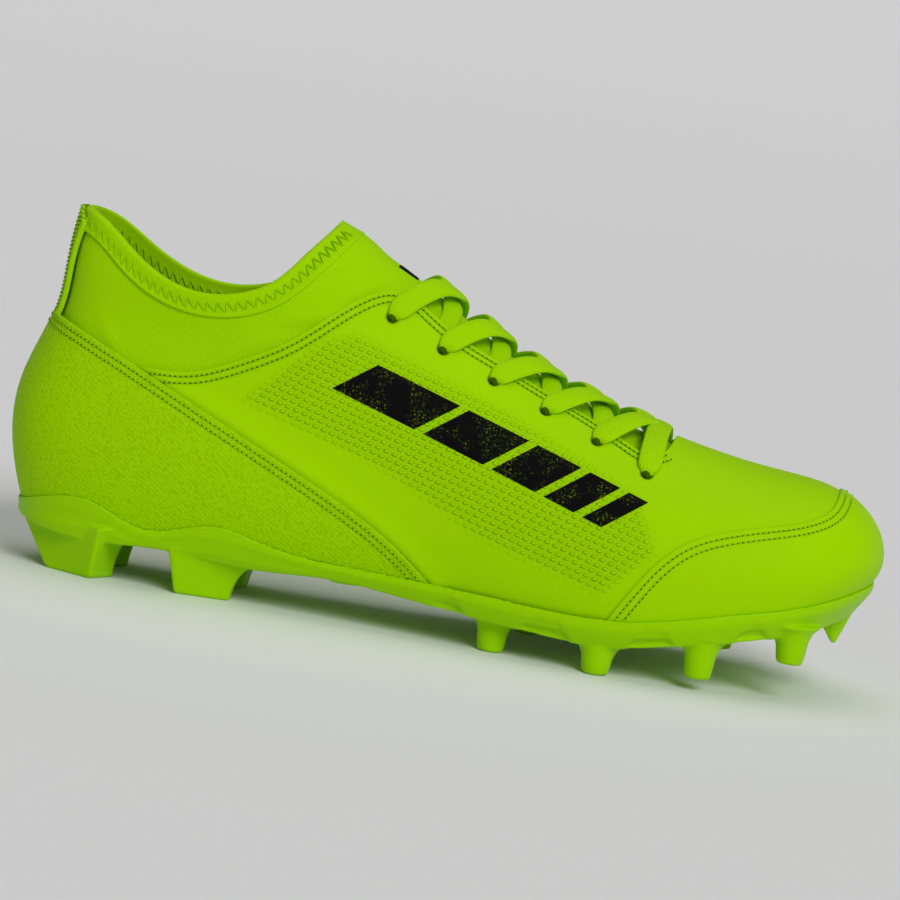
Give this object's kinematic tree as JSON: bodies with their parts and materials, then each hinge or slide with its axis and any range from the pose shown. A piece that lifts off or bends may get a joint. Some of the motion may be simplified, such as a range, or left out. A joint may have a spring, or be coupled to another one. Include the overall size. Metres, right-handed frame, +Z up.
{
  "type": "soccer cleat",
  "caption": "Low lace-up football boot for a right foot: synthetic upper with a toe cap and heel panel, stretch sock collar, and a moulded firm-ground sole with studs.",
  "frame": {"origin": "centre of the boot's footprint on the ground, midway along its length and width, at the stud tips", "axes": "+X from heel to toe, +Y from the outer (lateral) side to the inner (medial) side, +Z up"},
  "size_m": [0.2952, 0.1004, 0.1299],
  "materials": {
    "outsole": "satin moulded nylon-elastomer blend",
    "board": "fibre lasting board",
    "sockliner": "foam sheet with a textile cover",
    "counter": "thermoformed stiffener",
    "upper": "smooth coated synthetic with an embossed dot field",
    "heel_textile": "coated woven textile",
    "toe_cap": "fine-grained coated synthetic",
    "backing": "woven reinforcement tape",
    "knit": "stretch knit with fine diagonal ribs",
    "lining": "brushed microfibre",
    "webbing": "ribbed woven tape",
    "graphic": "printed film",
    "lace": "flat woven lace"
  },
  "bodies": {
    "rearfoot": {"outsole_rear": "outsole", "insole_board": "board", "sockliner": "sockliner", "heel_counter": "counter", "quarter_vamp": "upper", "heel_panel": "heel_textile", "eyestay_backing_lateral": "backing", "eyestay_backing_medial": "backing", "collar_sock": "knit", "heel_lining": "lining", "vamp_lining": "lining", "collar_binding": "knit", "heel_pull_tab": "webbing", "side_graphic": "graphic", "tongue_graphic": "graphic", "lace": "lace"},
    "forefoot": {"outsole_forefoot": "outsole", "toe_cap": "toe_cap", "toe_puff": "counter"}
  },
  "joints": [
    {"name": "forefoot_flex", "type": "hinge", "parent": "rearfoot", "child": "forefoot", "pos_m": [0.04405, 0, 0.02], "axis": [0, -1, 0], "range_deg": [0, 25], "stiffness_Nm_per_rad": 10, "deforming": ["quarter_vamp", "vamp_lining", "insole_board", "sockliner", "collar_sock", "eyestay_backing_lateral", "eyestay_backing_medial", "lace", "side_graphic"]}
  ]
}
